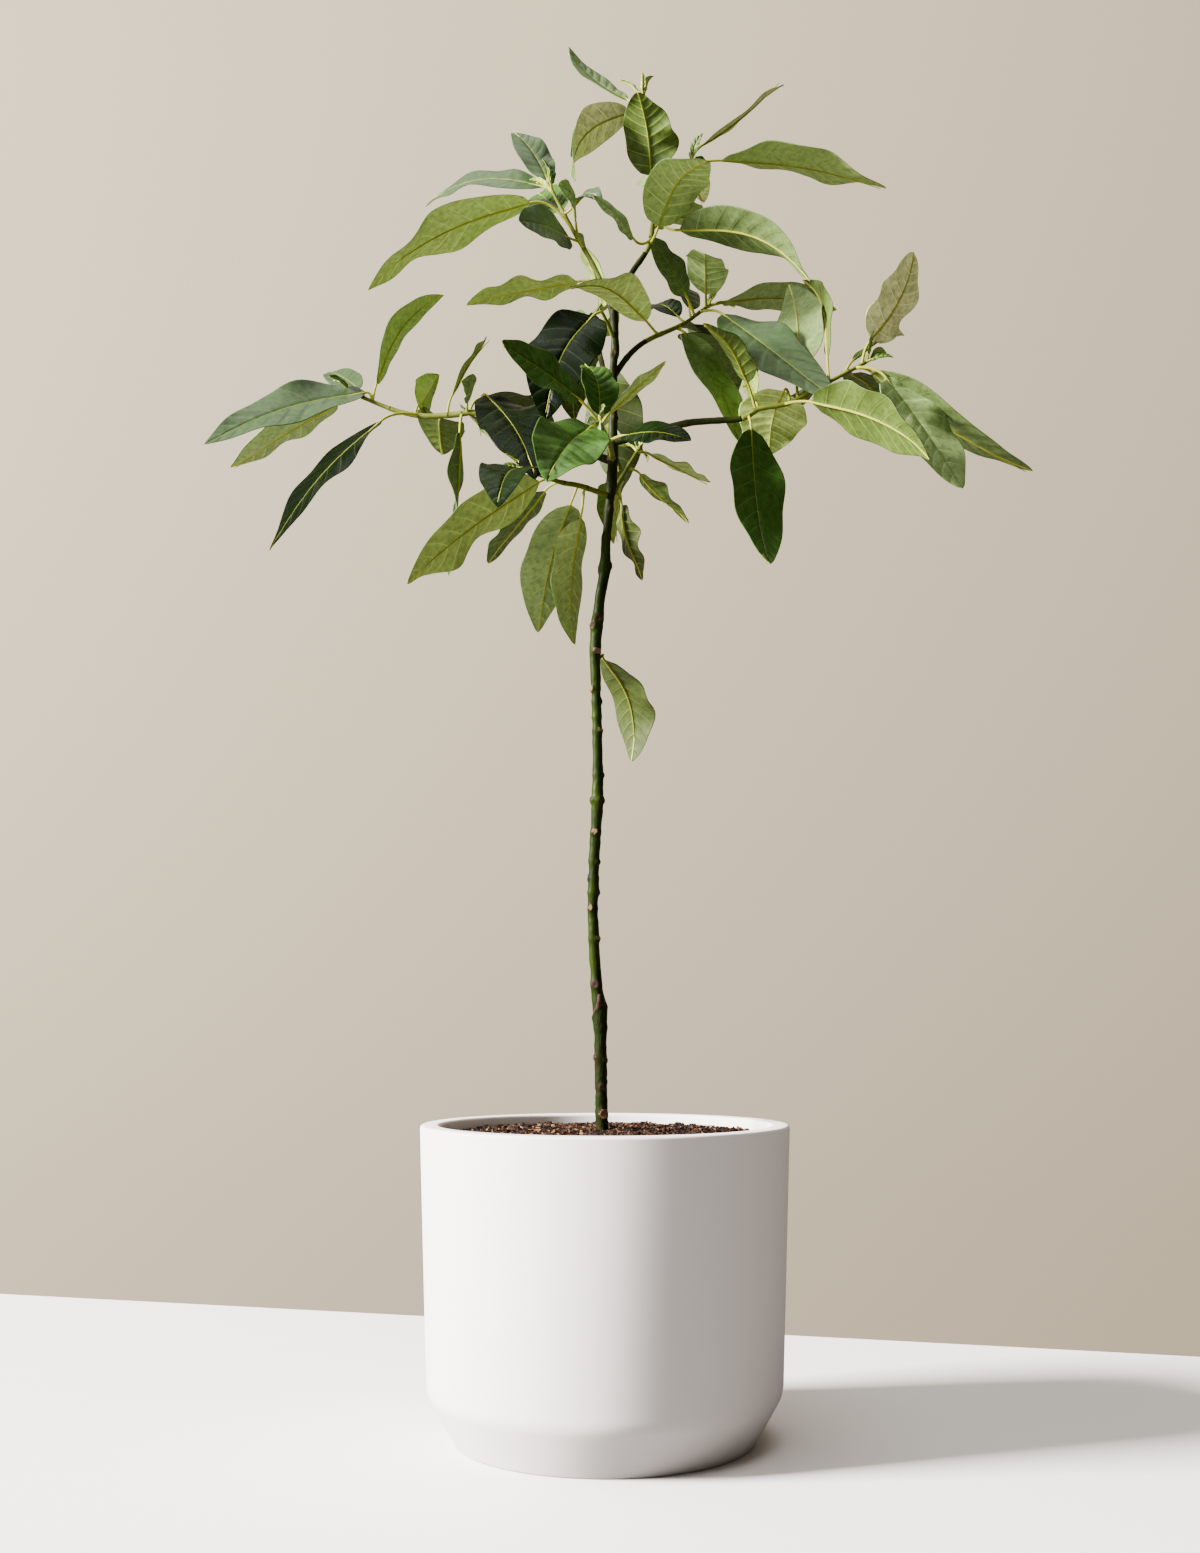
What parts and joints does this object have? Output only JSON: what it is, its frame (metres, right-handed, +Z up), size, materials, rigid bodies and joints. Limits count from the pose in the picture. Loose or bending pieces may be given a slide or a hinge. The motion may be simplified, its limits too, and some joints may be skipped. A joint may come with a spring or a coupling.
{
  "type": "potted avocado tree",
  "caption": "Young avocado tree in a plain matt white ceramic pot, with a slim green trunk, thin boughs and long drooping glossy leaves",
  "frame": {"origin": "centre of the pot's flat underside", "axes": "+X to the right as seen from the front, +Y from the front to the back, +Z up along the pot's axis"},
  "size_m": [0.6706, 0.5012, 1.1616],
  "materials": {
    "pot": "matte",
    "potting_mix": "matte",
    "bark": "satin",
    "leaves": "satin"
  },
  "bodies": {
    "root": {"pot": "pot", "potting_mix": "potting_mix", "trunk": "bark", "limb_leader": "bark", "limb_upper_left": "bark", "bough_left": "bark", "bough_right_high": "bark", "bough_right_low": "bark", "bough_back": "bark", "leaves_left": "leaves", "leaves_low_left": "leaves", "leaves_front": "leaves", "leaves_low_right": "leaves", "leaf_on_trunk": "leaves", "leaf_at_fork": "leaves", "leaves_back": "leaves", "leaves_right_high": "leaves", "leaves_right_low": "leaves", "leaves_upper_left": "leaves", "leaves_top": "leaves"}
  },
  "joints": []
}
